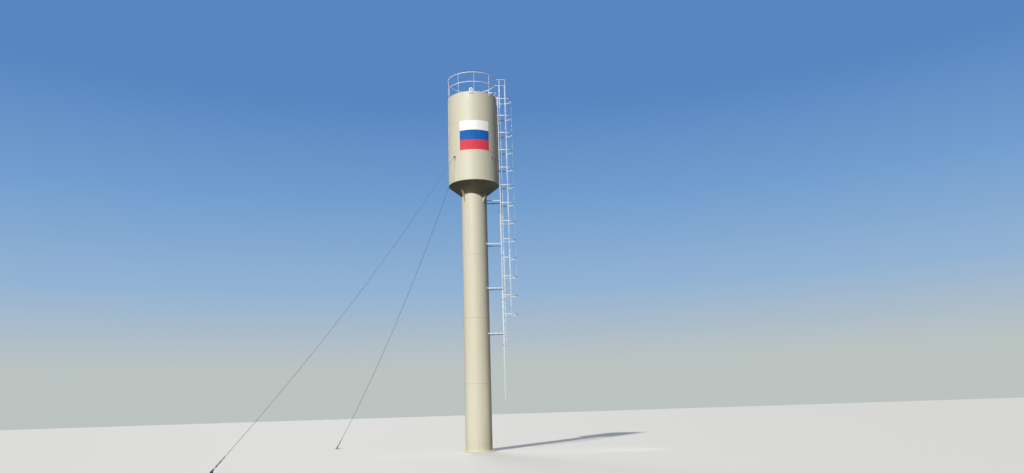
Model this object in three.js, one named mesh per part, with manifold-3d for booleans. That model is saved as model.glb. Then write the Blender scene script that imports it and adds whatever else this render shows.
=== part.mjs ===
// A steel water tower: a welded column that flares into a cylindrical tank, with a ladder in
// a safety cage, a guard rail round the roof and two guys. Millimetres, +Z up, the origin at
// the centre of the base plate's underside. +X points to the ladder, -Y to the front.
import * as THREE from "three";
import { mergeVertices } from "three/addons/utils/BufferGeometryUtils.js";
import Module from "manifold-3d";

// Driving dimensions
const GAP = 0.3; // left between pieces that touch
const FACETS = 48; // flats round the tower
const SMALL_FACETS = 24; // flats round the hatch's lid
const CURVE_SEGMENTS = 9; // of a round stretch in an outline
const TUBE_SIDES = 6; // flats round a rail, a post or a rung
const CUT_DEPTH = 20; // how far a plate starts inside the wall that cuts it to shape
const WELD = 2; // how far welded bars run into each other

const BASE_RADIUS = 720;
const BASE_THICKNESS = 20;

const COLUMN_RADIUS = 610;
const COLUMN_WALL = 6;
const COLUMN_HEIGHT = 12000;
const COLUMN_COURSES = 4;

const CONE_HEIGHT = 500;
const TANK_RADIUS = 1225;
const TANK_WALL = 5;
const TANK_HEIGHT = 4500;
const TANK_COURSES = 3;
const TANK_BOTTOM = COLUMN_HEIGHT + CONE_HEIGHT;
const TANK_TOP = TANK_BOTTOM + TANK_HEIGHT;
const COURSE_HEIGHT = TANK_HEIGHT / TANK_COURSES;

const ROOF_RISE = 280; // of the full cone, up to its missing tip
const ROOF_WALL = 5;
const HATCH_RADIUS = 300;
const HATCH_WALL = 6;
const HATCH_TOP = TANK_TOP + 400;
const LID_OVERHANG = 20;
const LID_PLAY = 6; // between the collar and the lid's lip
const LID_THICKNESS = 10;
const LID_LIP = 40; // below the collar's top
const GRIP_HALF_WIDTH = 90;
const GRIP_HEIGHT = 50;
const GRIP_RADIUS = 8;

const STRIPE_CENTRE = 273.5; // degrees from +X, turning from +X to +Y
const STRIPE_HALF_ANGLE = 34.9;
const STRIPE_HEIGHT = 500;
const STRIPE_THICKNESS = 2;

const EYE_WIDTH = 190;
const EYE_HEIGHT = 180; // above the tank's rim
const EYE_DROP = 115; // below the rim
const EYE_THICKNESS = 20;
const EYE_HOLE = 42; // radius
const EYE_SEAT = 1232; // distance of the eye plate's middle from the tower's axis
const EYE_FRONT = 267.7; // angles from +X
const EYE_BACK = 92.3;

const LUG_ANGLES = [45, 135, 225, 315];
const LUG_HEIGHT = 13750;
const LUG_REACH = 100;
const LUG_DEPTH = 84;
const LUG_TIP = TANK_RADIUS + LUG_REACH - LUG_DEPTH / 2; // distance of the hole from the axis
const LUG_THICKNESS = 14;
const LUG_HOLE = 16; // radius

const GUSSET_DROP = 430; // below the column's top
const GUSSET_REACH = 850; // radius at which the gusset meets the cone
const GUSSET_THICKNESS = 12;
const GUSSET_TOE = 15; // width of the blunt end at each tip

const RAIL_HEIGHT = 1000;
const RAIL_TUBE = 21; // radius
const POST_TUBE = 9;
const POST_OVERLAP = 140; // of a post on the tank's wall
const POST_SINK = 3; // how far a post's flattened side lies inside its round
const POST_ANGLES = [47.5, 85.4, 123.2, 161.1]; // from the ladder, to each side
const RAIL_SEAM = 0.02; // degrees between two quarters of the rail

const LADDER_FOOT = 2200;
const LADDER_FACE = 1240; // the stringers' edge next to the tower
const LADDER_HALF_WIDTH = 285; // to a stringer's outer face
const STRINGER_WIDTH = 42;
const STRINGER_THICKNESS = 8;
const RUNG_RADIUS = 10;
const RUNG_PITCH = 300;
const LADDER_JOINTS = [LADDER_FOOT, 7300, 12400]; // where the lengths of ladder begin
const LADDER_TOP = 17335; // top of the bend over the tank's rim
const LADDER_TIP = 770; // how far the bend comes in over the roof
const BEND_RADIUS = 80;
const TANK_TABS = [13750, 15850]; // heights of the ladder's tabs on the tank
const TAB_DEPTH = 60; // how far the tabs start inside the tank, which cuts them

const BRACKET_TOP = 11690;
const BRACKET_PITCH = 2140;
const BRACKET_COUNT = 4;
const BRACKET_BAR = 40; // height and width of a bracket's angle bars
const BRACKET_THICKNESS = 6;
const BRACKET_PAD = 110; // height of the curved pad on the column
const BRACKET_LAP = 10; // of a bracket's bars on the stringers, short of the rungs
const BRACKET_ROOT = 480; // x where the bars start, inside the column, which cuts them
const PAD_HALF_ANGLE = 30;

const CAGE_TOP = 16980; // middle of the highest hoop
const HOOP_PITCH = 902;
const HOOPS = [4, 3, 3, 3]; // in each section of the cage, from the lowest up
const CAGE_RADIUS = 345;
const CAGE_CENTRE = 1608; // x of the centre of the hoops' round part
const HOOP_HEIGHT = 40;
const HOOP_THICKNESS = 6;
const HOOP_TAIL = 4; // from the stringer's edge to the hoop's end
const HOOP_FLARE = 8; // from the stringer's other edge to the slanting stretch
const HOOP_JOG = 20; // from the slanting stretch to the middle of the inner strap
const HOOP_MITRE = 4; // keeps the slanting stretch as thick as the rest
const STRAP_WIDTH = 22;
const STRAP_THICKNESS = 6;
const INNER_STRAP = 1365; // x of the straps next to the ladder
const INNER_STRAP_FOOT = 4380; // these run on below the lowest hoop
const MIDDLE_STRAP = 1650;
const STRAP_FACE = CAGE_RADIUS - HOOP_THICKNESS + WELD; // outer face of the straps
const RAIL_OPENING = STRAP_FACE + STRAP_THICKNESS + GAP; // half the gap in the rail at the ladder

// Distance runs from the tower's axis to the anchor; sag is a share of the straight line
// between the guy's ends.
const GUYS = [
  { name: "front", angle: 225, distance: 12500, sag: 0.031 },
  { name: "back", angle: 135, distance: 11000, sag: 0.045 },
];
const GUY_RADIUS = 9;
const GUY_STEPS = 20;
const ROPE_SEGMENTS = 4; // of the arc in the rope's outline
const FORK_LENGTH = 110; // from the pin to the end of the bridge
const FORK_CHEEK = 8;
const FORK_EDGE = 16; // round the pin
const FORK_BRIDGE = 30;
const ROPE_LAP = 20; // of a rope or screw in the bridge
const PIN_END = 6; // outside the cheeks
const PIN_SIDES = 12;
const TURNBUCKLE_LENGTH = 620;
const SOCKET_LENGTH = 60; // holds the rope's lower end
const SOCKET_RADIUS = 20;
const SCREW_RADIUS = 12;
const SCREW_SIDES = 8;
const BARREL_RADIUS = 24;
const BARREL_START = 160; // from the turnbuckle's upper end
const BARREL_END = 190; // from the lower pin
const ANCHOR_HALF_WIDTH = 130;
const ANCHOR_THICKNESS = 12;
const ANCHOR_PIN = 90; // height above the ground
const ANCHOR_LUG_HALF_WIDTH = 90;
const ANCHOR_LUG_RADIUS = 45;

const CREAM = { color: 0xe4dec4, roughness: 0.5, metalness: 0.1 };
const WHITE = { color: 0xeeeeea, roughness: 0.5, metalness: 0.1 };
const BLUE = { color: 0x1e5fbe, roughness: 0.5, metalness: 0.1 };
const RED = { color: 0xe1324b, roughness: 0.5, metalness: 0.1 };
const STEEL = { color: 0x4a4b4c, roughness: 0.6, metalness: 0.8 };

const wasm = await Module();
wasm.setup();

const radians = THREE.MathUtils.degToRad;

// A closed geometry as a solid that can be joined and cut.
function solid(geometry) {
  const bare = geometry.index ? geometry.toNonIndexed() : geometry.clone();
  bare.deleteAttribute("normal");
  bare.deleteAttribute("uv");
  const merged = mergeVertices(bare, 1e-3);
  return new wasm.Manifold(
    new wasm.Mesh({
      numProp: 3,
      vertProperties: merged.attributes.position.array,
      triVerts: new Uint32Array(merged.index.array),
    }),
  );
}

function join(...solids) {
  return solids.reduce((whole, next) => whole.add(next));
}

// A solid as a named mesh in its own material.
function piece(name, shape, finish) {
  const made = shape.getMesh();
  const geometry = new THREE.BufferGeometry();
  geometry.setAttribute("position", new THREE.BufferAttribute(made.vertProperties, 3));
  geometry.setIndex(new THREE.BufferAttribute(made.triVerts, 1));
  geometry.computeVertexNormals();
  const mesh = new THREE.Mesh(geometry, new THREE.MeshStandardMaterial(finish));
  mesh.name = name;
  return mesh;
}

// A closed outline of [radius, height] points, turned round the tower's axis.
function turned(points, facets = FACETS) {
  const closed = [...points, points[0]];
  const profile = closed.map(([radius, height]) => new THREE.Vector2(radius, height));
  return solid(new THREE.LatheGeometry(profile, facets).rotateX(Math.PI / 2));
}

function ring(inner, outer, bottom, top, facets = FACETS) {
  return turned([[inner, bottom], [outer, bottom], [outer, top], [inner, top]], facets);
}

// A full disc whose profile starts and ends on the axis.
function disc(radius, bottom, top, facets = FACETS) {
  const corners = [[0, bottom], [radius, bottom], [radius, top], [0, top]];
  const profile = corners.map(([r, z]) => new THREE.Vector2(r, z));
  return solid(new THREE.LatheGeometry(profile, facets).rotateX(Math.PI / 2));
}

function box(low, high) {
  const size = high.map((value, axis) => value - low[axis]);
  const middle = high.map((value, axis) => (value + low[axis]) / 2);
  return solid(new THREE.BoxGeometry(...size).translate(...middle));
}

// An outline in x and y, raised from bottom to top.
function raised(outline, bottom, top) {
  const options = { depth: top - bottom, bevelEnabled: false, curveSegments: CURVE_SEGMENTS };
  return solid(new THREE.ExtrudeGeometry(outline, options).translate(0, 0, bottom));
}

// An outline in x and z, as a plate of the given thickness whose middle is at y.
function upright(outline, thickness, y = 0) {
  const options = { depth: thickness, bevelEnabled: false, curveSegments: CURVE_SEGMENTS };
  const plate = new THREE.ExtrudeGeometry(outline, options).rotateX(Math.PI / 2);
  return solid(plate.translate(0, y + thickness / 2, 0));
}

function polygon(points) {
  return new THREE.Shape(points.map(([x, y]) => new THREE.Vector2(x, y)));
}

function atAngle(shape, degrees) {
  return shape.rotate([0, 0, degrees]);
}

// A wedge between two angles round the tower's axis, which keeps that part of a ring.
function between(from, to, bottom, top) {
  const reach = 3 * TANK_RADIUS;
  const widest = 60; // degrees of the wedge a straight side may span
  const steps = Math.ceil((to - from) / widest);
  const rim = [];
  for (let step = 0; step <= steps; step++) {
    const angle = radians(from + ((to - from) * step) / steps);
    rim.push([reach * Math.cos(angle), reach * Math.sin(angle)]);
  }
  return raised(polygon([[0, 0], ...rim]), bottom, top);
}

// A straight round bar between two points.
function bar(start, end, radius, sides = TUBE_SIDES) {
  const from = new THREE.Vector3(...start);
  const along = new THREE.Vector3(...end).sub(from);
  const rod = new THREE.CylinderGeometry(radius, radius, along.length(), sides);
  rod.translate(0, along.length() / 2, 0);
  const turn = new THREE.Quaternion();
  turn.setFromUnitVectors(new THREE.Vector3(0, 1, 0), along.clone().normalize());
  return solid(rod.applyQuaternion(turn).translate(from.x, from.y, from.z));
}

// The tower's outer form, wider by the gap, which cuts what is welded to it.
function outerForm() {
  const profile = [
    [0, 0],
    [COLUMN_RADIUS + GAP, 0],
    [COLUMN_RADIUS + GAP, COLUMN_HEIGHT],
    [TANK_RADIUS + GAP, TANK_BOTTOM - GAP],
    [TANK_RADIUS + GAP, roofAt(TANK_RADIUS) + GAP],
    [0, roofAt(0) + GAP],
  ];
  const points = profile.map(([radius, height]) => new THREE.Vector2(radius, height));
  return solid(new THREE.LatheGeometry(points, FACETS).rotateX(Math.PI / 2));
}

const TOWER = outerForm();

function basePlate() {
  return piece("base_plate", disc(BASE_RADIUS, 0, BASE_THICKNESS), CREAM);
}

function column() {
  const height = COLUMN_HEIGHT / COLUMN_COURSES;
  const courses = [];
  for (let course = 0; course < COLUMN_COURSES; course++) {
    const bottom = course === 0 ? BASE_THICKNESS + GAP : course * height + GAP;
    const wall = ring(COLUMN_RADIUS - COLUMN_WALL, COLUMN_RADIUS, bottom, (course + 1) * height);
    courses.push(piece(`column_course_${course + 1}`, wall, CREAM));
  }
  return courses;
}

function coneBottom() {
  const wall = turned([
    [COLUMN_RADIUS - COLUMN_WALL, COLUMN_HEIGHT + GAP],
    [COLUMN_RADIUS, COLUMN_HEIGHT + GAP],
    [TANK_RADIUS, TANK_BOTTOM],
    [TANK_RADIUS - TANK_WALL, TANK_BOTTOM],
  ]);
  return piece("cone_bottom", wall, CREAM);
}

function tank() {
  const courses = [];
  for (let course = 0; course < TANK_COURSES; course++) {
    const bottom = TANK_BOTTOM + course * COURSE_HEIGHT;
    const wall = ring(TANK_RADIUS - TANK_WALL, TANK_RADIUS, bottom + GAP, bottom + COURSE_HEIGHT);
    courses.push(piece(`tank_course_${course + 1}`, wall, CREAM));
  }
  return courses;
}

// Height of the roof's upper face at a distance from the axis.
function roofAt(radius) {
  return TANK_TOP + ROOF_WALL + GAP + ROOF_RISE * (1 - radius / TANK_RADIUS);
}

function tankRoof() {
  const inner = HATCH_RADIUS - HATCH_WALL;
  const plate = turned([
    [TANK_RADIUS, TANK_TOP + GAP],
    [TANK_RADIUS, TANK_TOP + GAP + ROOF_WALL],
    [inner, roofAt(inner)],
    [inner, roofAt(inner) - ROOF_WALL],
  ]);
  return piece("tank_roof", plate, CREAM);
}

function roofHatch() {
  const inner = HATCH_RADIUS - HATCH_WALL;
  const collar = turned([
    [inner, roofAt(inner) + GAP],
    [HATCH_RADIUS, roofAt(HATCH_RADIUS) + GAP],
    [HATCH_RADIUS, HATCH_TOP],
    [inner, HATCH_TOP],
  ]);
  const rim = HATCH_RADIUS + LID_OVERHANG;
  const lidTop = HATCH_TOP + LID_THICKNESS;
  const cover = disc(rim, HATCH_TOP + GAP, lidTop, SMALL_FACETS);
  const lip = ring(HATCH_RADIUS + LID_PLAY, rim, HATCH_TOP - LID_LIP, lidTop - WELD, SMALL_FACETS);
  const gripTop = HATCH_TOP + GRIP_HEIGHT;
  const gripEnd = GRIP_HALF_WIDTH + GRIP_RADIUS;
  const legs = [-GRIP_HALF_WIDTH, GRIP_HALF_WIDTH].map((x) =>
    bar([x, 0, lidTop - WELD], [x, 0, gripTop], GRIP_RADIUS),
  );
  const grip = join(...legs, bar([-gripEnd, 0, gripTop], [gripEnd, 0, gripTop], GRIP_RADIUS));
  return [
    piece("roof_hatch_collar", collar, CREAM),
    piece("roof_hatch_lid", join(cover, lip, grip), WHITE),
  ];
}

function stripes() {
  const names = ["stripe_red", "stripe_blue", "stripe_white"];
  const finishes = [RED, BLUE, WHITE];
  const inner = TANK_RADIUS + GAP;
  const start = STRIPE_CENTRE - STRIPE_HALF_ANGLE;
  const end = STRIPE_CENTRE + STRIPE_HALF_ANGLE;
  return names.map((name, row) => {
    const bottom = TANK_BOTTOM + COURSE_HEIGHT + row * STRIPE_HEIGHT + GAP;
    const top = bottom + STRIPE_HEIGHT - GAP;
    const sheet = ring(inner, inner + STRIPE_THICKNESS, bottom, top);
    const field = between(start, end, TANK_BOTTOM, TANK_TOP);
    return piece(name, sheet.intersect(field), finishes[row]);
  });
}

// A round-headed plate with a hole, welded flat against the wall and standing above its rim.
function liftingEye(name, degrees) {
  const foot = TANK_TOP - EYE_DROP;
  const centre = TANK_TOP + EYE_HEIGHT - EYE_WIDTH / 2;
  const outline = new THREE.Shape();
  outline.moveTo(-EYE_WIDTH / 2, foot);
  outline.lineTo(EYE_WIDTH / 2, foot);
  outline.absarc(0, centre, EYE_WIDTH / 2, 0, Math.PI, false);
  const hole = new THREE.Path();
  hole.absarc(0, centre, EYE_HOLE, 0, Math.PI * 2, true);
  outline.holes.push(hole);
  const plate = upright(outline, EYE_THICKNESS, -EYE_SEAT);
  return piece(name, atAngle(plate, degrees - 270).subtract(TOWER), WHITE);
}

// A plate along the radius, rounded at its outer end, with a hole for the guy.
function guyLugs() {
  return LUG_ANGLES.map((degrees, index) => {
    const outline = new THREE.Shape();
    outline.moveTo(TANK_RADIUS - CUT_DEPTH, LUG_HEIGHT + LUG_DEPTH / 2);
    outline.lineTo(TANK_RADIUS - CUT_DEPTH, LUG_HEIGHT - LUG_DEPTH / 2);
    outline.absarc(LUG_TIP, LUG_HEIGHT, LUG_DEPTH / 2, -Math.PI / 2, Math.PI / 2, false);
    const hole = new THREE.Path();
    hole.absarc(LUG_TIP, LUG_HEIGHT, LUG_HOLE, 0, Math.PI * 2, true);
    outline.holes.push(hole);
    const plate = upright(outline, LUG_THICKNESS);
    return piece(`guy_lug_${index + 1}`, atAngle(plate, degrees).subtract(TOWER), CREAM);
  });
}

function coneGussets() {
  const slope = CONE_HEIGHT / (TANK_RADIUS - COLUMN_RADIUS);
  const meets = COLUMN_HEIGHT + (GUSSET_REACH - COLUMN_RADIUS) * slope;
  return LUG_ANGLES.map((degrees, index) => {
    const outline = polygon([
      [COLUMN_RADIUS - CUT_DEPTH, COLUMN_HEIGHT - GUSSET_DROP],
      [COLUMN_RADIUS + GUSSET_TOE, COLUMN_HEIGHT - GUSSET_DROP],
      [GUSSET_REACH, meets - GUSSET_TOE],
      [GUSSET_REACH, meets + CUT_DEPTH],
      [COLUMN_RADIUS - CUT_DEPTH, COLUMN_HEIGHT + CUT_DEPTH],
    ]);
    const plate = upright(outline, GUSSET_THICKNESS);
    return piece(`cone_gusset_${index + 1}`, atAngle(plate, degrees).subtract(TOWER), CREAM);
  });
}

// The guard rail in four quarters, open at the ladder.
function guardRail() {
  const circle = TANK_RADIUS + POST_TUBE - POST_SINK;
  const joint = (POST_ANGLES[1] + POST_ANGLES[2]) / 2;
  const spans = [
    [0, joint, POST_ANGLES.slice(0, 2)],
    [joint + RAIL_SEAM, 180 - RAIL_SEAM, POST_ANGLES.slice(2)],
  ];
  const hoop = (height) =>
    solid(new THREE.TorusGeometry(circle, RAIL_TUBE, TUBE_SIDES, FACETS).translate(0, 0, height));
  const gate = box(
    [0, -RAIL_OPENING, TANK_TOP],
    [2 * TANK_RADIUS, RAIL_OPENING, TANK_TOP + 2 * RAIL_HEIGHT],
  );
  const rails = join(hoop(TANK_TOP + RAIL_HEIGHT), hoop(TANK_TOP + RAIL_HEIGHT / 2));
  const open = rails.subtract(gate);
  const sides = [["back", 1], ["front", -1]];
  return sides.flatMap(([side, turn]) =>
    spans.map(([from, to, angles], index) => {
      const [low, high] = turn > 0 ? [from, to] : [-to, -from];
      const span = open.intersect(between(low, high, TANK_TOP, TANK_TOP + 2 * RAIL_HEIGHT));
      const posts = angles.map((degrees) => {
        const x = circle * Math.cos(radians(degrees * turn));
        const y = circle * Math.sin(radians(degrees * turn));
        return bar([x, y, TANK_TOP - POST_OVERLAP], [x, y, TANK_TOP + RAIL_HEIGHT], POST_TUBE);
      });
      const whole = join(span, ...posts).subtract(TOWER);
      return piece(`guard_rail_${side}_${index + 1}`, whole, WHITE);
    }),
  );
}

// The outline of a stringer in x and z from one height up, bent over the tank's rim if it
// is the last one.
function stringerOutline(bottom, top, bent) {
  const far = LADDER_FACE + STRINGER_WIDTH;
  if (!bent) {
    return polygon([[LADDER_FACE, bottom], [far, bottom], [far, top], [LADDER_FACE, top]]);
  }
  const outer = BEND_RADIUS + STRINGER_WIDTH;
  const under = LADDER_TOP - STRINGER_WIDTH;
  const outline = new THREE.Shape();
  outline.moveTo(LADDER_FACE, bottom);
  outline.lineTo(far, bottom);
  outline.absarc(far - outer, LADDER_TOP - outer, outer, 0, Math.PI / 2, false);
  outline.absarc(LADDER_TIP + outer, LADDER_TOP - outer, outer, Math.PI / 2, Math.PI, false);
  outline.lineTo(LADDER_TIP, TANK_TOP);
  outline.lineTo(LADDER_TIP + STRINGER_WIDTH, TANK_TOP);
  outline.absarc(LADDER_TIP + outer, under - BEND_RADIUS, BEND_RADIUS, Math.PI, Math.PI / 2, true);
  outline.absarc(LADDER_FACE - BEND_RADIUS, under - BEND_RADIUS, BEND_RADIUS, Math.PI / 2, 0, true);
  return outline;
}

function ladder() {
  const middle = LADDER_HALF_WIDTH - STRINGER_THICKNESS / 2;
  const rungX = LADDER_FACE + STRINGER_WIDTH / 2;
  return LADDER_JOINTS.map((bottom, index) => {
    const last = index === LADDER_JOINTS.length - 1;
    const top = last ? CAGE_TOP : LADDER_JOINTS[index + 1] - GAP;
    const outline = stringerOutline(bottom, top, last);
    const parts = [-middle, middle].map((y) => upright(outline, STRINGER_THICKNESS, y));
    for (let z = bottom + RUNG_PITCH / 2; z < top; z += RUNG_PITCH) {
      parts.push(bar([rungX, -middle, z], [rungX, middle, z], RUNG_RADIUS));
    }
    if (last) {
      const tread = LADDER_TOP - STRINGER_WIDTH / 2;
      for (const x of [LADDER_FACE - BEND_RADIUS, LADDER_TIP + BEND_RADIUS + STRINGER_WIDTH]) {
        parts.push(bar([x, -middle, tread], [x, middle, tread], RUNG_RADIUS));
      }
      for (const z of TANK_TABS) {
        for (const y of [-middle, middle]) {
          const half = STRINGER_THICKNESS / 2;
          const low = [TANK_RADIUS - TAB_DEPTH, y - half, z - BRACKET_BAR / 2];
          parts.push(box(low, [LADDER_FACE + WELD, y + half, z + BRACKET_BAR / 2]));
        }
      }
    }
    return piece(`ladder_section_${index + 1}`, join(...parts).subtract(TOWER), WHITE);
  });
}

// Two angle bars from a curved pad on the column out to the ladder's stringers, each with
// its upper flange turned in towards the other.
function ladderBrackets() {
  const brackets = [];
  const outer = LADDER_HALF_WIDTH - STRINGER_THICKNESS - GAP;
  const inner = outer - BRACKET_THICKNESS;
  const flange = outer - BRACKET_BAR;
  const end = LADDER_FACE + BRACKET_LAP;
  for (let index = 0; index < BRACKET_COUNT; index++) {
    const height = BRACKET_TOP - (BRACKET_COUNT - 1 - index) * BRACKET_PITCH;
    const bottom = height - BRACKET_BAR / 2;
    const top = height + BRACKET_BAR / 2;
    const angleBar = join(
      box([BRACKET_ROOT, inner, bottom], [end, outer, top]),
      box([BRACKET_ROOT, flange, top - BRACKET_THICKNESS], [end, outer, top]),
    );
    const padLow = height - BRACKET_PAD / 2;
    const padHigh = height + BRACKET_PAD / 2;
    const pad = ring(COLUMN_RADIUS + GAP, COLUMN_RADIUS + BRACKET_THICKNESS, padLow, padHigh);
    const arc = between(-PAD_HALF_ANGLE, PAD_HALF_ANGLE, 0, COLUMN_HEIGHT);
    const whole = join(pad.intersect(arc), angleBar, angleBar.mirror([0, 1, 0])).subtract(TOWER);
    brackets.push(piece(`ladder_bracket_${index + 1}`, whole, WHITE));
  }
  return brackets;
}

// The outline of a hoop: open towards the ladder, its ends turned in to the stringers.
function hoopOutline() {
  const seat = LADDER_HALF_WIDTH + GAP;
  const start = LADDER_FACE + HOOP_TAIL;
  const flare = LADDER_FACE + STRINGER_WIDTH + HOOP_FLARE;
  const jog = INNER_STRAP - HOOP_JOG;
  const inner = CAGE_RADIUS - HOOP_THICKNESS;
  const outline = new THREE.Shape();
  outline.moveTo(start, -seat);
  outline.lineTo(start, -seat - HOOP_THICKNESS);
  outline.lineTo(flare - HOOP_MITRE, -seat - HOOP_THICKNESS);
  outline.lineTo(jog - HOOP_MITRE, -CAGE_RADIUS);
  outline.absarc(CAGE_CENTRE, 0, CAGE_RADIUS, -Math.PI / 2, Math.PI / 2, false);
  outline.lineTo(jog - HOOP_MITRE, CAGE_RADIUS);
  outline.lineTo(flare - HOOP_MITRE, seat + HOOP_THICKNESS);
  outline.lineTo(start, seat + HOOP_THICKNESS);
  outline.lineTo(start, seat);
  outline.lineTo(flare, seat);
  outline.lineTo(jog, inner);
  outline.absarc(CAGE_CENTRE, 0, inner, Math.PI / 2, -Math.PI / 2, true);
  outline.lineTo(jog, -inner);
  outline.lineTo(flare, -seat);
  return outline;
}

function cage() {
  const outline = hoopOutline();
  const railTop = TANK_TOP + RAIL_HEIGHT;
  const count = HOOPS.reduce((sum, hoops) => sum + hoops);
  let lowest = CAGE_TOP - (count - 1) * HOOP_PITCH;
  return HOOPS.map((hoops, section) => {
    const first = section === 0;
    const last = section === HOOPS.length - 1;
    const highest = lowest + (hoops - 1) * HOOP_PITCH;
    const bottom = first ? lowest - HOOP_HEIGHT / 2 : lowest - HOOP_PITCH / 2 + GAP;
    const top = last ? railTop : highest + HOOP_PITCH / 2;
    const parts = [];
    for (let height = lowest; height <= highest; height += HOOP_PITCH) {
      parts.push(raised(outline, height - HOOP_HEIGHT / 2, height + HOOP_HEIGHT / 2));
    }
    for (const x of [INNER_STRAP, MIDDLE_STRAP]) {
      const foot = first && x === INNER_STRAP ? INNER_STRAP_FOOT : bottom;
      const half = STRAP_WIDTH / 2;
      const face = STRAP_FACE - STRAP_THICKNESS;
      parts.push(box([x - half, face, foot], [x + half, STRAP_FACE, top]));
      parts.push(box([x - half, -STRAP_FACE, foot], [x + half, -face, top]));
    }
    const crown = CAGE_CENTRE + STRAP_FACE;
    const crownTop = last ? highest + HOOP_HEIGHT / 2 : top;
    const low = [crown - STRAP_THICKNESS, -STRAP_WIDTH / 2, bottom];
    parts.push(box(low, [crown, STRAP_WIDTH / 2, crownTop]));
    if (last) {
      parts.push(...cageArms(railTop));
    }
    lowest = highest + HOOP_PITCH;
    return piece(`cage_section_${section + 1}`, join(...parts), WHITE);
  });
}

// Flat bars from the guard rail's ends out along the top of the cage.
function cageArms(height) {
  const start = Math.sqrt(TANK_RADIUS ** 2 - RAIL_OPENING ** 2) - RAIL_TUBE;
  const end = MIDDLE_STRAP + STRAP_WIDTH / 2;
  const low = height - STRAP_WIDTH / 2;
  const high = height + STRAP_WIDTH / 2;
  const inner = STRAP_FACE - WELD;
  const outer = STRAP_FACE + STRAP_THICKNESS;
  return [box([start, inner, low], [end, outer, high]), box([start, -outer, low], [end, -inner, high])];
}

// A guy's line in its own upright plane: x outwards from the tower, z up.
function guyLine(distance, sagShare) {
  const start = new THREE.Vector3(LUG_TIP, 0, LUG_HEIGHT);
  const end = new THREE.Vector3(distance, 0, ANCHOR_PIN);
  const sag = start.distanceTo(end) * sagShare;
  const pull = new THREE.Vector3().addVectors(start, end).multiplyScalar(0.5);
  pull.z -= 2 * sag;
  return new THREE.QuadraticBezierCurve3(start, pull, end);
}

// A fork of two cheeks round a lug, with its pin at a point, open against a direction.
function fork(point, along) {
  const half = LUG_HOLE + FORK_EDGE;
  const inner = LUG_THICKNESS / 2 + GAP;
  const outer = inner + FORK_CHEEK;
  const outline = polygon([[-half, -half], [FORK_LENGTH, -half], [FORK_LENGTH, half], [-half, half]]);
  const middle = (inner + outer) / 2;
  const cheeks = [middle, -middle].map((y) => upright(outline, FORK_CHEEK, y));
  const bridge = box([FORK_LENGTH - FORK_BRIDGE, -outer, -half], [FORK_LENGTH, outer, half]);
  const pinEnd = outer + PIN_END;
  const pin = bar([0, -pinEnd, 0], [0, pinEnd, 0], LUG_HOLE - GAP, PIN_SIDES);
  const tilt = -THREE.MathUtils.radToDeg(Math.atan2(along.z, along.x));
  return join(...cheeks, bridge, pin).rotate([0, tilt, 0]).translate([point.x, point.y, point.z]);
}

// The rope with its upper fork, from one distance along the line to another.
function guyWire(line, from, to) {
  const start = line.getUtoTmapping(0, from);
  const end = line.getUtoTmapping(0, to);
  const path = new THREE.Curve();
  path.getPoint = (t, target = new THREE.Vector3()) =>
    line.getPoint(start + (end - start) * t, target);
  const round = new THREE.Shape().absarc(0, 0, GUY_RADIUS, 0, Math.PI * 2, false);
  const options = {
    steps: GUY_STEPS,
    curveSegments: ROPE_SEGMENTS,
    bevelEnabled: false,
    extrudePath: path,
  };
  const strand = solid(new THREE.ExtrudeGeometry(round, options));
  return join(strand, fork(line.getPoint(0), line.getTangent(0)));
}

// The socket, the screws, the barrel and the lower fork below the rope's end.
function turnbuckle(line, ropeEnd) {
  const length = line.getLength();
  const at = (distance) => line.getPoint(line.getUtoTmapping(0, distance)).toArray();
  const rod = (from, to, radius) => bar(at(from), at(to), radius, SCREW_SIDES);
  return join(
    rod(ropeEnd + GAP, ropeEnd + SOCKET_LENGTH, SOCKET_RADIUS),
    rod(ropeEnd + SOCKET_LENGTH - WELD, length - FORK_LENGTH + ROPE_LAP, SCREW_RADIUS),
    rod(ropeEnd + BARREL_START, length - BARREL_END, BARREL_RADIUS),
    fork(line.getPoint(1), line.getTangent(1).negate()),
  );
}

// A square foot plate with an upright lug.
function guyAnchor(distance) {
  const outline = new THREE.Shape();
  outline.moveTo(distance - ANCHOR_LUG_HALF_WIDTH, 0);
  outline.lineTo(distance + ANCHOR_LUG_HALF_WIDTH, 0);
  outline.absarc(distance, ANCHOR_PIN, ANCHOR_LUG_RADIUS, 0, Math.PI, false);
  const hole = new THREE.Path();
  hole.absarc(distance, ANCHOR_PIN, LUG_HOLE, 0, Math.PI * 2, true);
  outline.holes.push(hole);
  const half = ANCHOR_HALF_WIDTH;
  const foot = box([distance - half, -half, 0], [distance + half, half, ANCHOR_THICKNESS]);
  return join(foot, upright(outline, LUG_THICKNESS));
}

function guys() {
  return GUYS.flatMap(({ name, angle, distance, sag }) => {
    const line = guyLine(distance, sag);
    const ropeEnd = line.getLength() - TURNBUCKLE_LENGTH;
    const wire = guyWire(line, FORK_LENGTH - ROPE_LAP, ropeEnd);
    return [
      piece(`guy_wire_${name}`, atAngle(wire, angle), STEEL),
      piece(`guy_turnbuckle_${name}`, atAngle(turnbuckle(line, ropeEnd), angle), STEEL),
      piece(`guy_anchor_${name}`, atAngle(guyAnchor(distance), angle), STEEL),
    ];
  });
}

const tower = new THREE.Group();
tower.name = "water_tower";
tower.add(
  basePlate(),
  ...column(),
  ...coneGussets(),
  coneBottom(),
  ...tank(),
  ...stripes(),
  tankRoof(),
  ...roofHatch(),
  liftingEye("lifting_eye_front", EYE_FRONT),
  liftingEye("lifting_eye_back", EYE_BACK),
  ...guyLugs(),
  ...guardRail(),
  ...ladder(),
  ...ladderBrackets(),
  ...cage(),
  ...guys(),
);

export default tower;
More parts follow.
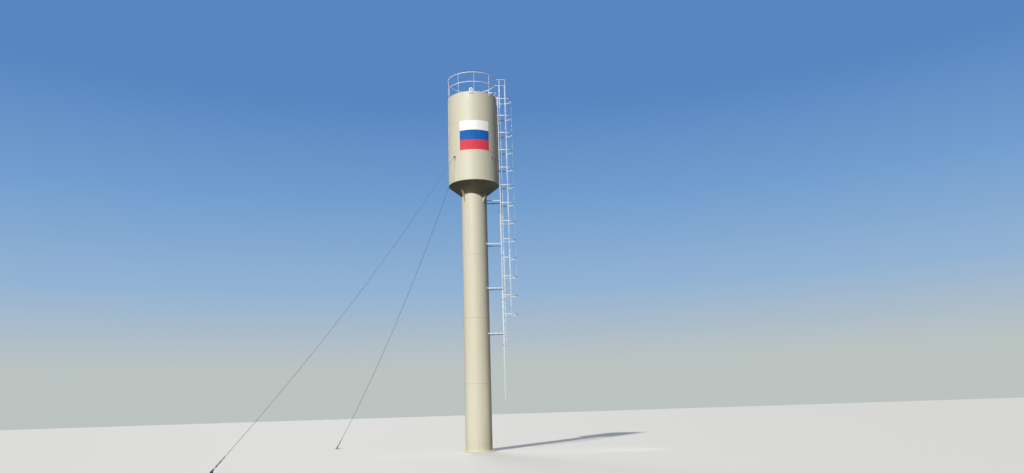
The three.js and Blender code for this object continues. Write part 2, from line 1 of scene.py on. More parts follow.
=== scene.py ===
"""The looks of a steel water tower: painted shells, a caged ladder, a guard rail and two guys.

Metres, +Z up, the origin at the centre of the base plate's underside. +X points to the
ladder and -Y to the front. Angles are degrees round the tower's axis, from +X towards +Y.
"""
import math

import bpy
from mathutils import Euler, Matrix, Vector


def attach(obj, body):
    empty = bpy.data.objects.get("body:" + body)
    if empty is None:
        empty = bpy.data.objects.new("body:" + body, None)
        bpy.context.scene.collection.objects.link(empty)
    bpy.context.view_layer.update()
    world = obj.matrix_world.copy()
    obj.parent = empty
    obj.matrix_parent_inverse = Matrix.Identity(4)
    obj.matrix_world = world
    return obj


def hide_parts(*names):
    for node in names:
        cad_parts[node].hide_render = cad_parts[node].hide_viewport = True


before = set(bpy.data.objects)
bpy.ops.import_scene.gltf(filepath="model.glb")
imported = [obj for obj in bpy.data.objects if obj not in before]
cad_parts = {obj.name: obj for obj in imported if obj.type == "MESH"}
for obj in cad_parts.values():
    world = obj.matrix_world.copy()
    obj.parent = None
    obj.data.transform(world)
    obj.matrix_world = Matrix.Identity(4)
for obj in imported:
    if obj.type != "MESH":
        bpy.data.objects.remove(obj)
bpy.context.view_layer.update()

# The camera that took the photograph
EYE = (0.0, -34.796, 1.733)
YAW, PITCH, ROLL = 2.942, 13.267, -1.824
FOCAL_PIXELS = 740.0
PHOTO_WIDTH = 1024
SENSOR_WIDTH = 36.0

# The tower's main sizes
GAP = 0.0003
TOWER_SIDES, HATCH_SIDES = 192, 96
SMOOTH_ANGLE = 40
BASE_RADIUS, BASE_THICKNESS, BASE_STUDS = 0.72, 0.02, 24
COLUMN_RADIUS, COLUMN_WALL, COLUMN_TOP = 0.61, 0.006, 12.0
COLUMN_COURSE = 3.0
TANK_RADIUS, TANK_WALL = 1.225, 0.005
TANK_BOTTOM, TANK_TOP = 12.5, 17.0
TANK_COURSE = 1.5
ROOF_RISE, ROOF_WALL = 0.28, 0.005
HATCH_RADIUS, HATCH_WALL, HATCH_TOP = 0.3, 0.006, 17.4
COLUMN_SEAM_ANGLES = (62, 148, 34, 118)
CONE_SEAM_ANGLES = (20, 140, 200, 320)
TANK_SEAM_ANGLES = ((70, 190), (130, 350), (100, 170))
ROOF_SEAMS = 8

STRIPE_CENTRE, STRIPE_HALF_ANGLE = 273.5, 34.9
STRIPE_HEIGHT, STRIPE_THICKNESS = 0.5, 0.0012

CORNERS = (45, 135, 225, 315)
LUG_HEIGHT, LUG_DEPTH, LUG_THICKNESS, LUG_TIP = 13.75, 0.084, 0.014, 1.283
PIN_RADIUS = 0.0157
GUSSET_DROP, GUSSET_REACH, GUSSET_THICKNESS = 0.43, 0.85, 0.012

RAIL_TOP, RAIL_MIDDLE = 18.0, 17.5
RAIL_CIRCLE, RAIL_TUBE, POST_TUBE, POST_FOOT = 1.231, 0.021, 0.009, 16.86
POST_ANGLES = (47.5, 85.4, 123.2, 161.1)
RAIL_OPENING = 0.3473

LADDER_FACE, LADDER_HALF, STRINGER, STRINGER_THICKNESS = 1.24, 0.285, 0.042, 0.008
LADDER_JOINTS = (2.2, 7.3, 12.4, 17.0)
LADDER_TOP, LADDER_TIP, BEND = 17.335, 0.77, 0.08
RUNG, RUNG_RADIUS = 0.3, 0.01
TANK_TABS = (13.75, 15.85)
BRACKET_HEIGHTS = (5.27, 7.41, 9.55, 11.69)
BAR, BAR_THICKNESS = 0.04, 0.006

HOOPS = (4, 3, 3, 3)
HOOP_PITCH, CAGE_TOP, CAGE_RADIUS, CAGE_CENTRE = 0.902, 16.98, 0.345, 1.608
HOOP_HEIGHT, HOOP_THICKNESS = 0.04, 0.006
STRAP, STRAP_THICKNESS, STRAP_FACE = 0.022, 0.006, 0.341
INNER_STRAP, INNER_STRAP_FOOT, MIDDLE_STRAP = 1.365, 4.38, 1.65

GUYS = (("front", 225, 12.5, 0.031), ("back", 135, 11.0, 0.045))
ANCHOR_PIN = 0.09
TURNBUCKLE = 0.62
ROPE_RADIUS, ROPE_STRANDS, ROPE_LAY, ROPE_STEPS_A_TURN = 0.009, 6, 0.16, 8
FORK_OUTER, FORK_HALF, FORK_LENGTH = 0.0153, 0.03, 0.11
SCREW_RADIUS, SCREW_PITCH = 0.0115, 0.006

# The washer, nut and end of a stud: from and to over its plate, radius, sides, edge
BASE_STUD = ((-0.001, 0.004, 0.027, 16, 0.0), (0.003, 0.026, 0.021, 6, 0.0015),
             (0.02, 0.045, 0.012, 12, 0.0015))
ANCHOR_STUD = ((-0.001, 0.003, 0.02, 16, 0.0), (0.002, 0.018, 0.015, 6, 0.001),
               (0.015, 0.032, 0.009, 12, 0.001))

# Colours: the paints, the marks on them, the floor and the backdrop
# The cone's colour is the cream darkened: painted shade under the tank.
CREAM, CONE_PAINTED_SHADE, LUG_BROWN = (0.64, 0.6, 0.465), (0.45, 0.425, 0.32), (0.22, 0.19, 0.145)
RUN_STAIN, SPLASH_STAIN, SEAM_STAIN = (0.36, 0.33, 0.26), (0.3, 0.25, 0.18), (0.3, 0.28, 0.22)
PALE_RUN, STRIPE_RUN = (0.45, 0.42, 0.36), (0.4, 0.38, 0.34)
CHIP, RUST = (0.25, 0.12, 0.06), (0.16, 0.075, 0.035)
SEAM_WIDTH = 0.016
FLOOR_SEEN, FLOOR_CAST = (0.55, 0.53, 0.49), (0.016, 0.014, 0.009)
BACKDROP_SEEN = ((0.06, (0.5, 0.55, 0.54)), (0.16, (0.29, 0.45, 0.66)),
                 (0.28, (0.165, 0.34, 0.62)), (0.4, (0.1, 0.235, 0.53)))
BACKDROP_CAST = ((0.2, (0.075, 0.095, 0.125)), (0.42, (0.24, 0.295, 0.39)))
WARM = (1.0, 0.9, 0.62)


# Modelling by hand

def only(*things):
    bpy.ops.object.select_all(action="DESELECT")
    for thing in things:
        thing.select_set(True)
    bpy.context.view_layer.objects.active = things[-1]


def settle(thing):
    """Bakes an object's place and turn into its mesh."""
    only(thing)
    bpy.ops.object.transform_apply(location=True, rotation=True, scale=True)
    return thing


def placed(thing, matrix):
    thing.matrix_world = matrix @ thing.matrix_world
    return settle(thing)


def turned_to(thing, degrees):
    return placed(thing, Matrix.Rotation(math.radians(degrees), 4, "Z"))


def moved(thing, offset):
    return placed(thing, Matrix.Translation(offset))


def copy(thing):
    only(thing)
    bpy.ops.object.duplicate(linked=False)
    return bpy.context.object


def joined(*things):
    only(*things)
    if len(things) > 1:
        bpy.ops.object.join()
    return bpy.context.object


def modified(thing, kind, **values):
    only(thing)
    bpy.ops.object.modifier_add(type=kind)
    modifier = thing.modifiers[-1]
    for name, value in values.items():
        setattr(modifier, name, value)
    bpy.ops.object.modifier_apply(modifier=modifier.name)
    return thing


def bevelled(thing, width, segments=2, degrees=30):
    return modified(thing, "BEVEL", width=width, segments=segments, limit_method="ANGLE",
                    angle_limit=math.radians(degrees), harden_normals=False)


def repeated(thing, count, offset):
    return modified(thing, "ARRAY", count=count, use_relative_offset=False,
                    use_constant_offset=True, constant_offset_displace=offset)


def drawn(points):
    """Draws a line from point to point by extruding a single vertex; edit mode stays on."""
    bpy.ops.object.select_all(action="DESELECT")
    bpy.ops.mesh.primitive_plane_add(size=0.01, location=points[0])
    bpy.ops.object.mode_set(mode="EDIT")
    bpy.ops.mesh.merge(type="CENTER")
    for here, there in zip(points, points[1:]):
        step = Vector(there) - Vector(here)
        bpy.ops.mesh.extrude_region_move(TRANSFORM_OT_translate={"value": step})
    bpy.ops.mesh.select_all(action="SELECT")
    bpy.ops.mesh.remove_doubles(threshold=1e-6)


def closed_up():
    """Ends edit mode with the doubles merged and every face pointing outwards."""
    bpy.ops.mesh.select_all(action="SELECT")
    bpy.ops.mesh.remove_doubles(threshold=1e-6)
    bpy.ops.mesh.normals_make_consistent(inside=False)
    bpy.ops.object.mode_set(mode="OBJECT")
    return settle(bpy.context.object)


def plate(points, thickness):
    """A plate with the drawn outline, raised by the thickness, a vector."""
    drawn(points)
    bpy.ops.mesh.edge_face_add()
    bpy.ops.mesh.extrude_region_move(TRANSFORM_OT_translate={"value": thickness})
    return closed_up()


def spun(outline, steps=TOWER_SIDES, start=0.0, sweep=360.0):
    """An outline of (radius, height) points, spun round the Z axis."""
    turn = math.radians(start)
    points = [(r * math.cos(turn), r * math.sin(turn), z) for r, z in outline]
    drawn(points)
    bpy.ops.mesh.spin(steps=steps, angle=-math.radians(sweep), center=(0, 0, 0), axis=(0, 0, 1))
    bpy.ops.mesh.select_all(action="SELECT")
    bpy.ops.mesh.remove_doubles(threshold=1e-6)
    bpy.ops.mesh.fill_holes(sides=0)
    return closed_up()


def ring(inner, outer, bottom, top, edge=0.0, **spin):
    """A ring, with its four corners cut where it has an edge."""
    corners = [(inner, bottom), (outer, bottom), (outer, top), (inner, top)]
    if edge:
        corners = [(inner + edge, bottom), (outer - edge, bottom), (outer, bottom + edge),
                   (outer, top - edge), (outer - edge, top), (inner + edge, top),
                   (inner, top - edge), (inner, bottom + edge)]
    return spun(corners + corners[:1], **spin)


def bead(radius, height, half, proud, **spin):
    """A rounded weld all round, raised on a wall of the given radius."""
    sunk = 0.001
    outline = [(radius - sunk, height - half), (radius + proud * 0.7, height - half * 0.6),
               (radius + proud, height), (radius + proud * 0.7, height + half * 0.6),
               (radius - sunk, height + half), (radius - sunk, height - half)]
    return spun(outline, **spin)


def rod(start, end, radius, sides=12, edge=0.0):
    """A round bar from one point to another."""
    start, end = Vector(start), Vector(end)
    along = end - start
    bpy.ops.object.select_all(action="DESELECT")
    bpy.ops.mesh.primitive_cylinder_add(
        vertices=sides, radius=radius, depth=along.length, location=(start + end) / 2,
        rotation=along.to_track_quat("Z", "Y").to_euler(),
    )
    made = settle(bpy.context.object)
    return bevelled(made, edge, 1, 60) if edge else made


def box(low, high, edge=0.0):
    low, high = Vector(low), Vector(high)
    bpy.ops.object.select_all(action="DESELECT")
    bpy.ops.mesh.primitive_cube_add(size=1, location=(low + high) / 2)
    made = bpy.context.object
    made.scale = high - low
    settle(made)
    return bevelled(made, edge) if edge else made


def arc(centre, radius, start, end, steps):
    """Points on an arc in a plane, from one angle to another."""
    angles = [math.radians(start + (end - start) * k / steps) for k in range(steps + 1)]
    return [(centre[0] + radius * math.cos(a), centre[1] + radius * math.sin(a)) for a in angles]


def upright(outline, thickness, edge=0.0, y=0.0):
    """A plate in the plane of x and z, its middle at y."""
    points = [(x, y - thickness / 2, z) for x, z in outline]
    made = plate(points, (0, thickness, 0))
    return bevelled(made, edge) if edge else made


def drilled(thing, start, end, radius, sides=24):
    cutter = rod(start, end, radius, sides)
    modified(thing, "BOOLEAN", operation="DIFFERENCE", object=cutter, solver="EXACT")
    bpy.data.objects.remove(cutter)
    return thing


def bolt(at, outwards, size=0.008, head=0.0065):
    """A hexagonal head on its washer."""
    at, outwards = Vector(at), Vector(outwards)
    sunk = outwards * 0.001
    washer = rod(at - sunk, at + outwards * 0.002, size * 1.25, 10)
    nut = rod(at, at + outwards * (0.002 + head), size, 6)
    return joined(washer, nut)


def stud(x, y, foot, sizes):
    """A stud through a plate: its washer, its nut and its end."""
    return [rod((x, y, foot + low), (x, y, foot + high), radius, sides, edge)
            for low, high, radius, sides, edge in sizes]


def corner_welds(radius, half, toe, foot, height):
    """Welds up both sides of an upright plate where it meets a wall."""
    welds = []
    for side in (-1, 1):
        corner = [(radius, side * half, foot), (radius + toe, side * half, foot),
                  (radius, side * (half + toe), foot)]
        welds.append(plate(corner, (0, 0, height)))
    return welds


def finished(thing, node, material):
    """Names a piece for the node that it stands for, and paints it."""
    thing.name = thing.data.name = f"steel_{node}"
    only(thing)
    bpy.ops.object.shade_smooth_by_angle(angle=math.radians(SMOOTH_ANGLE))
    thing.data.materials.clear()
    thing.data.materials.append(material)
    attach(thing, "root")
    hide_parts(node)


def finished_on_corners(thing, node, material):
    """Copies a plate onto the four diagonals, and takes the first one away."""
    for index, degrees in enumerate(CORNERS):
        made = turned_to(copy(thing), degrees)
        finished(made, f"{node}_{index + 1}", material)
    bpy.data.objects.remove(thing)


# Finishes

def rgba(colour):
    return (*colour, 1.0)


def darker(colour, share):
    return [value * share for value in colour]


def feed(tree, socket, value):
    """Sets a socket to another node's output, or to a plain number or colour."""
    if hasattr(value, "is_output"):
        tree.links.new(value, socket)
    else:
        socket.default_value = value


def noise(tree, stretch, detail, roughness=0.5, scale=1.0):
    """Noise over Object coordinates that are stretched along each axis."""
    place = tree.nodes.new("ShaderNodeTexCoord")
    mapping = tree.nodes.new("ShaderNodeMapping")
    mapping.inputs["Scale"].default_value = stretch
    tree.links.new(place.outputs["Object"], mapping.inputs["Vector"])
    node = tree.nodes.new("ShaderNodeTexNoise")
    node.inputs["Scale"].default_value = scale
    node.inputs["Detail"].default_value = detail
    node.inputs["Roughness"].default_value = roughness
    tree.links.new(mapping.outputs["Vector"], node.inputs["Vector"])
    return node.outputs["Fac"]


def height_of(tree, coordinates="Object"):
    """The Z of a point on a surface, or of a direction."""
    place = tree.nodes.new("ShaderNodeTexCoord")
    split = tree.nodes.new("ShaderNodeSeparateXYZ")
    tree.links.new(place.outputs[coordinates], split.inputs["Vector"])
    return split.outputs["Z"]


def ranged(tree, value, low, high, to_low=0.0, to_high=1.0):
    """Runs smoothly from one number to another while the value crosses a range."""
    node = tree.nodes.new("ShaderNodeMapRange")
    node.interpolation_type = "SMOOTHSTEP"
    labels = ("Value", "From Min", "From Max", "To Min", "To Max")
    for label, number in zip(labels, (value, low, high, to_low, to_high)):
        feed(tree, node.inputs[label], number)
    return node.outputs["Result"]


def maths(tree, kind, first, second):
    node = tree.nodes.new("ShaderNodeMath")
    node.operation = kind
    feed(tree, node.inputs[0], first)
    feed(tree, node.inputs[1], second)
    return node.outputs[0]


def mixed(tree, share, first, second):
    """The first colour, and more of the second one as the share rises."""
    node = tree.nodes.new("ShaderNodeMix")
    node.data_type = "RGBA"
    for label, value in (("Factor", share), ("A", first), ("B", second)):
        feed(tree, node.inputs[label], value)
    return node.outputs["Result"]


def started_group(name, **inputs):
    """A node group with these inputs, and their sockets inside it."""
    group = bpy.data.node_groups.new(name, "ShaderNodeTree")
    for label, value in inputs.items():
        made = group.interface.new_socket(label, in_out="INPUT", socket_type="NodeSocketFloat")
        made.default_value = value
    return group, group.nodes.new("NodeGroupInput").outputs


def ended_group(group, **masks):
    """Gives a node group its outputs."""
    for label in masks:
        group.interface.new_socket(label, in_out="OUTPUT", socket_type="NodeSocketFloat")
    result = group.nodes.new("NodeGroupOutput")
    for label, mask in masks.items():
        group.links.new(mask, result.inputs[label])
    return group


def weather_group():
    """Marks that rain and dust leave on paint, with its grain and the sheets' slow waves."""
    group, _ = started_group("weather")
    runs = ranged(group, noise(group, (11, 11, 0.22), 5, 0.62), 0.5, 0.72)
    breaks = ranged(group, noise(group, (1.1, 1.1, 0.5), 3), 0.42, 0.62)
    patches = ranged(group, noise(group, (0.9, 0.9, 0.55), 4, 0.6), 0.3, 0.7)
    spray = maths(group, "MULTIPLY", noise(group, (7, 7, 5), 6, 0.7), -0.9)
    splash = ranged(group, maths(group, "ADD", height_of(group), spray), -0.35, 0.25, 1.0, 0.0)
    grain = noise(group, (1, 1, 1), 3, scale=320.0)
    waves = noise(group, (1, 1, 0.6), 2, scale=1.7)
    return ended_group(group, Runs=maths(group, "MULTIPLY", runs, breaks), Patches=patches,
                       Splash=splash, Grain=grain, Waves=waves)


def seam_group():
    """Dark bands along welds that lie a pitch apart, from a first height up."""
    group, given = started_group("seams", First=0.0, Pitch=1.0, Width=0.01)
    risen = maths(group, "SUBTRACT", height_of(group), given["First"])
    away = maths(group, "PINGPONG", risen, maths(group, "MULTIPLY", given["Pitch"], 0.5))
    ragged = maths(group, "ADD", noise(group, (14, 14, 14), 4), 0.6)
    reach = maths(group, "MULTIPLY", given["Width"], ragged)
    return ended_group(group, Band=ranged(group, away, 0.0, reach, 1.0, 0.0))


def wear_group():
    """Scattered spots of wear or rust, larger as the amount rises, and a soft mottle."""
    group, given = started_group("wear", Amount=0.5)
    flecks = noise(group, (26, 26, 26), 6, 0.7)
    edge = maths(group, "SUBTRACT", 0.78, maths(group, "MULTIPLY", given["Amount"], 0.16))
    mottle = ranged(group, noise(group, (5, 5, 5), 4), 0.3, 0.7)
    return ended_group(group, Spots=ranged(group, flecks, edge, 0.82), Mottle=mottle)


WEATHER, SEAMS, WEAR = weather_group(), seam_group(), wear_group()


class Finish:
    """A material under construction: groups and mixes that end in one Principled BSDF."""

    def __init__(self, name, colour, roughness, metallic=0.0, specular=0.5):
        self.material = bpy.data.materials.new(name)
        self.material.use_nodes = True
        self.tree = self.material.node_tree
        self.shader = self.tree.nodes["Principled BSDF"]
        self.shader.inputs["Metallic"].default_value = metallic
        self.shader.inputs["Specular IOR Level"].default_value = specular
        self.colour = rgba(colour)
        self.roughness = roughness

    def group(self, tree, **values):
        node = self.tree.nodes.new("ShaderNodeGroup")
        node.node_tree = tree
        for label, value in values.items():
            node.inputs[label].default_value = value
        return node.outputs

    def tint(self, mask, amount, colour):
        """Mixes a colour in where the mask is high."""
        share = maths(self.tree, "MULTIPLY", mask, amount)
        self.colour = mixed(self.tree, share, self.colour, rgba(colour))

    def bump(self, height, distance, strength):
        """Raises the surface by a height, over the bumps that it already has."""
        node = self.tree.nodes.new("ShaderNodeBump")
        node.inputs["Distance"].default_value = distance
        node.inputs["Strength"].default_value = strength
        self.tree.links.new(height, node.inputs["Height"])
        normal = self.shader.inputs["Normal"]
        if normal.links:
            self.tree.links.new(normal.links[0].from_socket, node.inputs["Normal"])
        self.tree.links.new(node.outputs["Normal"], normal)

    def done(self, mask, change):
        """Joins up the colour, and a roughness that changes with the mask."""
        rough = ranged(self.tree, mask, 0, 1, self.roughness, self.roughness + change)
        self.tree.links.new(rough, self.shader.inputs["Roughness"])
        self.tree.links.new(self.colour, self.shader.inputs["Base Color"])
        return self.material


def tower_paint(name, colour, first, pitch):
    """Paint over welded sheets, whose seams lie a pitch apart from a first height up."""
    finish = Finish(name, colour, 0.46, specular=0.7)
    weather = finish.group(WEATHER)
    seams = finish.group(SEAMS, First=first, Pitch=pitch, Width=SEAM_WIDTH)
    finish.tint(weather["Patches"], 0.16, darker(colour, 0.82))
    finish.tint(weather["Runs"], 0.22, RUN_STAIN)
    finish.tint(weather["Splash"], 0.1, SPLASH_STAIN)
    finish.tint(seams["Band"], 0.55, SEAM_STAIN)
    finish.bump(weather["Waves"], 0.01, 0.5)
    finish.bump(weather["Grain"], 0.0004, 0.35)
    return finish.done(weather["Patches"], 0.14)


def fitting_paint(name, colour):
    """Gloss paint on bars, tubes and small plates, chipped here and there."""
    finish = Finish(name, colour, 0.36)
    weather = finish.group(WEATHER)
    wear = finish.group(WEAR, Amount=0.5)
    finish.tint(wear["Mottle"], 0.12, darker(colour, 0.8))
    finish.tint(weather["Runs"], 0.15, PALE_RUN)
    finish.tint(wear["Spots"], 0.8, CHIP)
    finish.bump(weather["Grain"], 0.0003, 0.35)
    return finish.done(wear["Mottle"], 0.16)


def stripe_paint(name, colour, fade, specular):
    """Gloss paint rolled over the cream coat, a little faded in patches."""
    finish = Finish(name, colour, 0.55, specular=specular)
    weather = finish.group(WEATHER)
    wear = finish.group(WEAR, Amount=0.1)
    finish.tint(weather["Patches"], 0.3, fade)
    finish.tint(weather["Runs"], 0.12, STRIPE_RUN)
    finish.tint(wear["Mottle"], 0.12, darker(colour, 0.75))
    finish.bump(weather["Waves"], 0.01, 0.5)
    finish.bump(weather["Grain"], 0.0004, 0.3)
    return finish.done(wear["Mottle"], 0.14)


def galvanised(name, colour, dull):
    """Zinc-coated steel gone grey, with dull patches and spots of rust."""
    finish = Finish(name, colour, 0.42, metallic=0.75)
    weather = finish.group(WEATHER)
    wear = finish.group(WEAR, Amount=0.8)
    finish.tint(wear["Mottle"], 0.7, dull)
    finish.tint(weather["Patches"], 0.3, darker(dull, 0.6))
    finish.tint(wear["Spots"], 0.8, RUST)
    finish.bump(weather["Grain"], 0.0005, 0.5)
    return finish.done(wear["Mottle"], 0.25)


COLUMN_CREAM = tower_paint("cream paint, column", CREAM, 0.0, COLUMN_COURSE)
TANK_CREAM = tower_paint("cream paint, tank", CREAM, TANK_BOTTOM, TANK_COURSE)
# The cone's paint is darkened as painted shade, where the tank overhangs it.
CONE_SHADED_CREAM = tower_paint("cream paint darkened as painted shade, cone", CONE_PAINTED_SHADE, TANK_BOTTOM, TANK_COURSE)
FITTING_CREAM = fitting_paint("cream paint, fittings", CREAM)
# The lugs are painted a darker brown than the tank's cream.
LUG_CREAM = fitting_paint("cream paint, darker brown on the lugs", LUG_BROWN)
# The three whites are tinted blue: painted sky light on their shaded sides. The guard rail's
# white is also lighter, as painted light from below that the floor doesn't cast.
SKY_TINTED_WHITE = fitting_paint("white paint tinted with painted sky light, fittings", (0.69, 0.745, 0.8))
SKY_TINTED_LADDER_WHITE = fitting_paint("white paint tinted with painted sky light, ladder", (0.6, 0.66, 0.72))
SKY_LIT_RAIL_WHITE = fitting_paint("white paint, guard rail", (0.8, 0.86, 0.91))
STRIPE_WHITE = stripe_paint("white stripe", (0.97, 0.97, 0.91), (0.94, 0.93, 0.86), 0.7)
STRIPE_BLUE = stripe_paint("blue stripe", (0.008, 0.12, 0.45), (0.015, 0.15, 0.48), 0.12)
STRIPE_RED = stripe_paint("red stripe", (0.73, 0.048, 0.082), (0.73, 0.08, 0.11), 0.15)
ZINC = galvanised("galvanised steel", (0.34, 0.345, 0.35), (0.16, 0.16, 0.16))


# The tower's shells

def roof_at(radius):
    return TANK_TOP + ROOF_WALL + GAP + ROOF_RISE * (1 - radius / TANK_RADIUS)


def upright_bead(radius, low, high, degrees):
    """A straight weld up a shell."""
    weld = box((radius - 0.002, -0.007, low), (radius + 0.0025, 0.007, high), 0.002)
    return turned_to(weld, degrees)


def base_plate():
    """A round plate on its studs, with a weld round the column's foot."""
    top, edge, bury = BASE_THICKNESS, 0.003, 0.001
    disc = spun([(0, 0), (BASE_RADIUS - edge, 0), (BASE_RADIUS, edge), (BASE_RADIUS, top - edge),
                 (BASE_RADIUS - edge, top), (0, top)])
    studs = joined(*stud((BASE_RADIUS + COLUMN_RADIUS) / 2, 0, top, BASE_STUD))
    turn = 360 * (BASE_STUDS - 1) / BASE_STUDS
    bpy.ops.object.mode_set(mode="EDIT")
    bpy.ops.mesh.select_all(action="SELECT")
    bpy.ops.mesh.spin(dupli=True, steps=BASE_STUDS - 1, angle=math.radians(turn),
                      center=(0, 0, 0), axis=(0, 0, 1))
    bpy.ops.object.mode_set(mode="OBJECT")
    wall, toe = COLUMN_RADIUS, 0.012
    weld = spun([(wall - bury, top - bury), (wall + toe, top - bury),
                 (wall + toe * 0.45, top + toe * 0.4), (wall + 0.0005, top + toe),
                 (wall - bury, top + toe), (wall - bury, top - bury)])
    finished(joined(studs, weld, disc), "base_plate", COLUMN_CREAM)


def column():
    for index, seam in enumerate(COLUMN_SEAM_ANGLES):
        low = max(index * COLUMN_COURSE, BASE_THICKNESS) + GAP
        high = (index + 1) * COLUMN_COURSE
        parts = [ring(COLUMN_RADIUS - COLUMN_WALL, COLUMN_RADIUS, low, high)]
        parts.append(upright_bead(COLUMN_RADIUS, low + 0.02, high, seam))
        if index:
            parts.append(bead(COLUMN_RADIUS, low, 0.009, 0.0025))
        finished(joined(*parts), f"column_course_{index + 1}", COLUMN_CREAM)


def cone_bottom():
    """The flare from the column to the tank, with a weld at each end and four up its slope."""
    low, high, flare = COLUMN_TOP + GAP, TANK_BOTTOM, TANK_RADIUS - COLUMN_RADIUS
    shell = spun([(COLUMN_RADIUS - COLUMN_WALL, low), (COLUMN_RADIUS, low), (TANK_RADIUS, high),
                  (TANK_RADIUS - TANK_WALL, high), (COLUMN_RADIUS - COLUMN_WALL, low)])
    parts = [bead(COLUMN_RADIUS, low, 0.01, 0.003),
             bead(TANK_RADIUS - 0.004, high - 0.002, 0.01, 0.004), shell]
    slope, length = math.atan2(high - low, flare), math.hypot(high - low, flare)
    up_slope = Matrix.Translation((COLUMN_RADIUS, 0, low)) @ Matrix.Rotation(-slope, 4, "Y")
    for degrees in CONE_SEAM_ANGLES:
        weld = box((0.01, -0.006, -0.0025), (length - 0.01, 0.006, 0.001), 0.001)
        parts.insert(0, turned_to(placed(weld, up_slope), degrees))
    # Its paint is darker than the tank's: painted shade under the overhang.
    finished(joined(*parts), "cone_bottom", CONE_SHADED_CREAM)


def cone_gussets():
    """Upright plates in the corner between the column and the cone."""
    rise = (TANK_BOTTOM - COLUMN_TOP) / (TANK_RADIUS - COLUMN_RADIUS)
    clear = 0.0012
    inner, outer, foot = COLUMN_RADIUS + clear, GUSSET_REACH, COLUMN_TOP - GUSSET_DROP
    meets = COLUMN_TOP + (outer - COLUMN_RADIUS) * rise - clear
    outline = [(inner, foot), (COLUMN_RADIUS + 0.015, foot), (outer, meets - 0.015),
               (outer, meets), (inner, COLUMN_TOP - clear)]
    gusset = upright(outline, GUSSET_THICKNESS, 0.0015)
    half, height = GUSSET_THICKNESS / 2, GUSSET_DROP - 0.03
    welds = corner_welds(COLUMN_RADIUS, half, 0.006, foot + 0.01, height)
    finished_on_corners(joined(*welds, gusset), "cone_gusset", FITTING_CREAM)


def tank():
    for index, seams in enumerate(TANK_SEAM_ANGLES):
        low = TANK_BOTTOM + index * TANK_COURSE + GAP
        high = TANK_BOTTOM + (index + 1) * TANK_COURSE
        parts = [ring(TANK_RADIUS - TANK_WALL, TANK_RADIUS, low, high)]
        parts += [upright_bead(TANK_RADIUS, low + 0.01, high - 0.01, seam) for seam in seams]
        if index:
            parts.append(bead(TANK_RADIUS, low, 0.008, 0.002))
        finished(joined(*parts), f"tank_course_{index + 1}", TANK_CREAM)


def tank_roof():
    """A low cone with a round hole in the middle and straight welds down its slope."""
    inner, rim = HATCH_RADIUS - HATCH_WALL, TANK_TOP + GAP
    shell = spun([(TANK_RADIUS, rim), (TANK_RADIUS, rim + ROOF_WALL), (inner, roof_at(inner)),
                  (inner, roof_at(inner) - ROOF_WALL), (TANK_RADIUS, rim)])
    parts = [bead(TANK_RADIUS - 0.002, rim + 0.001, 0.006, 0.004)]
    fall = math.atan2(ROOF_RISE, TANK_RADIUS)
    length = (TANK_RADIUS - HATCH_RADIUS) / math.cos(fall) - 0.03
    hatch_foot = Matrix.Translation((HATCH_RADIUS, 0, roof_at(HATCH_RADIUS)))
    down_slope = hatch_foot @ Matrix.Rotation(fall, 4, "Y")
    for index in range(ROOF_SEAMS):
        weld = placed(box((0.02, -0.007, -0.001), (length, 0.007, 0.0025), 0.002), down_slope)
        parts.append(turned_to(weld, (index + 0.5) * 360 / ROOF_SEAMS))
    finished(joined(*parts, shell), "tank_roof", TANK_CREAM)


def roof_hatch():
    """A collar on the roof's hole, and a closed lid with a grip, a hinge and a hasp."""
    inner, outer = HATCH_RADIUS - HATCH_WALL, HATCH_RADIUS
    collar = spun([(inner, roof_at(inner) + GAP), (outer, roof_at(outer) + GAP),
                   (outer, HATCH_TOP), (inner, HATCH_TOP), (inner, roof_at(inner) + GAP)],
                  HATCH_SIDES)
    foot = bead(outer, roof_at(outer) + 0.004, 0.007, 0.006, steps=HATCH_SIDES)
    finished(joined(foot, collar), "roof_hatch_collar", FITTING_CREAM)

    rim, lip, skirt = outer + 0.02, outer + 0.014, HATCH_TOP - 0.04
    low, top = HATCH_TOP + GAP, HATCH_TOP + 0.01
    cover = spun([(0, low), (lip, low), (lip, skirt), (rim, skirt), (rim, top - 0.004),
                  (rim - 0.004, top), (rim - 0.03, top), (rim - 0.035, top + 0.003),
                  (0, top + 0.003)], HATCH_SIDES)
    grip = grip_bar(half=0.09, height=top + 0.045, foot=top, radius=0.008)
    hinge = [box((-0.05, 0.3, top - 0.001), (-0.04, 0.345, top + 0.02), 0.002),
             box((0.04, 0.3, top - 0.001), (0.05, 0.345, top + 0.02), 0.002),
             rod((-0.06, 0.335, top + 0.008), (0.06, 0.335, top + 0.008), 0.007, 12, 0.001),
             box((-0.035, 0.31, HATCH_TOP - 0.03), (0.035, 0.33, top + 0.004), 0.002)]
    hasp = box((-0.02, -0.345, HATCH_TOP - 0.035), (0.02, -0.31, top + 0.004), 0.002)
    finished(joined(grip, *hinge, hasp, cover), "roof_hatch_lid", SKY_TINTED_WHITE)


def grip_bar(half, height, foot, radius):
    """A round bar bent into a handle across the hatch."""
    bend = 0.02
    corner = arc((-half + bend, height - bend), bend, 180, 90, 6)
    left = [(-half, foot - 0.002), (-half, height - bend), *corner[1:]]
    path = left + [(-x, z) for x, z in reversed(left)]
    return tube([(x, 0, z) for x, z in path], radius)


def tube(points, radius):
    """A round bar along points, made as a curve and turned into a mesh."""
    data = bpy.data.curves.new("tube", "CURVE")
    data.dimensions = "3D"
    data.bevel_depth = radius
    data.bevel_resolution = 3
    data.use_fill_caps = True
    spline = data.splines.new("POLY")
    spline.points.add(len(points) - 1)
    for point, place in zip(spline.points, points):
        point.co = (*place, 1)
    made = bpy.data.objects.new("tube", data)
    bpy.context.collection.objects.link(made)
    only(made)
    bpy.ops.object.convert(target="MESH")
    bpy.ops.object.mode_set(mode="EDIT")
    return closed_up()


